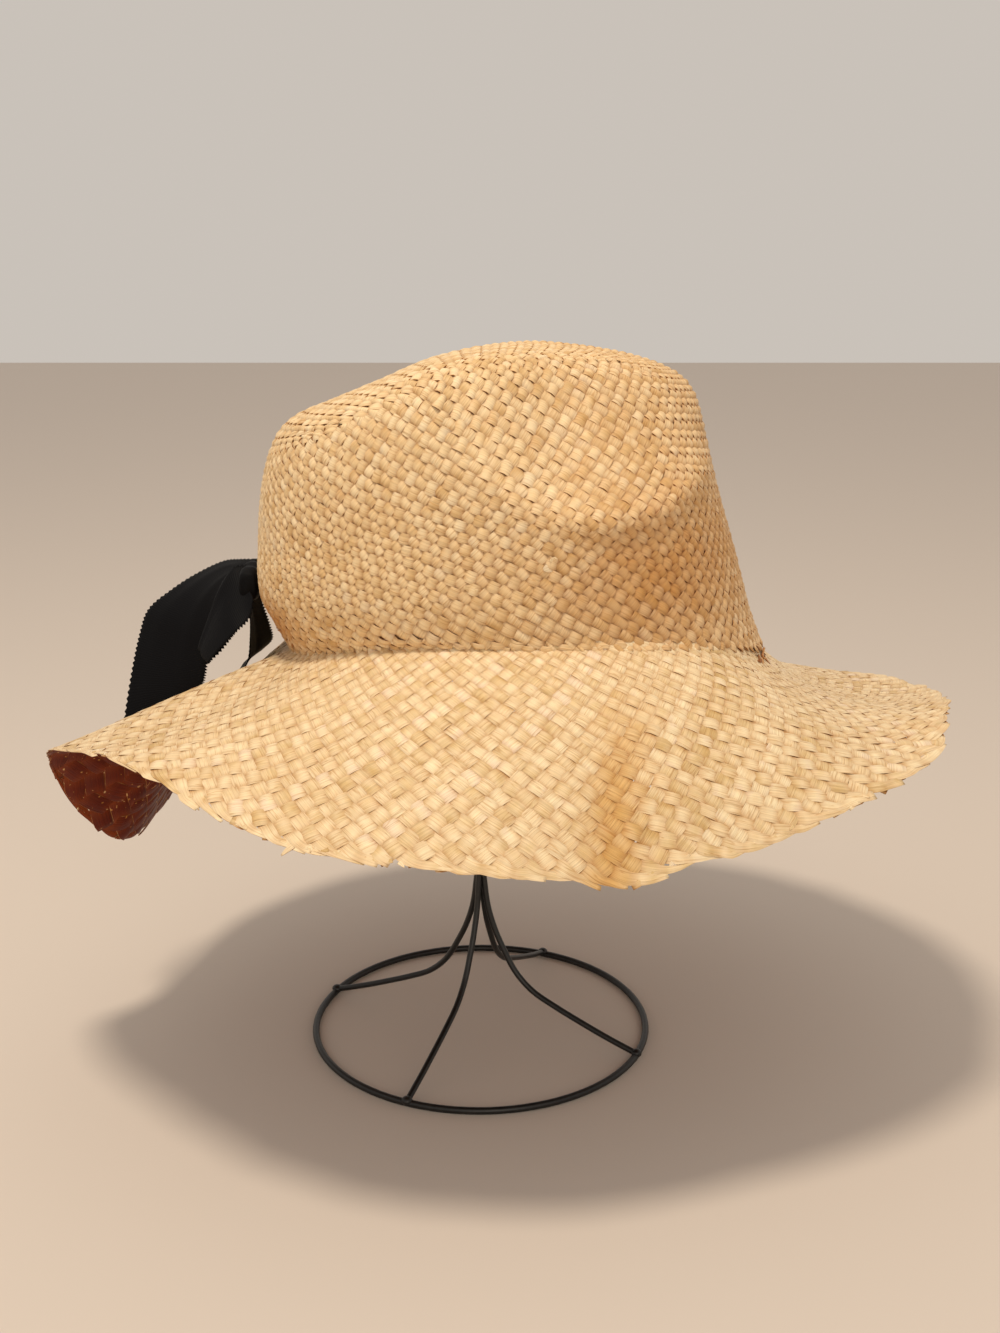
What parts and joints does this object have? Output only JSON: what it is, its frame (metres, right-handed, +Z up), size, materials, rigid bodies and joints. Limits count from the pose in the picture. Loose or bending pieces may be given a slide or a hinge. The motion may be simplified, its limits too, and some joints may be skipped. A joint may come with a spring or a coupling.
{
  "type": "raffia sun hat on a wire hat stand",
  "caption": "Woven raffia sun hat with a pinched crown, a wide wavy brim and a black ribbon bow at the back, resting on a plain wire hat stand.",
  "frame": {"origin": "centre of the bottom of the whole object's box, on the surface that the stand rests on", "axes": "+X towards the front of the hat, +Z up"},
  "size_m": [0.3658, 0.31, 0.2999],
  "materials": {
    "raffia_crown": "plaited raffia, natural straw, satin",
    "raffia_brim": "plaited raffia, pale natural straw, satin",
    "black_ribbon": "black grosgrain ribbon, soft sheen",
    "black_wire": "black painted steel wire, satin"
  },
  "bodies": {
    "root": {"crown": "raffia_crown", "brim": "raffia_brim", "ribbon_knot": "black_ribbon", "ribbon_tail_broad": "black_ribbon", "ribbon_loop": "black_ribbon", "ribbon_tail_short": "black_ribbon", "wire_stand": "black_wire"}
  },
  "joints": []
}
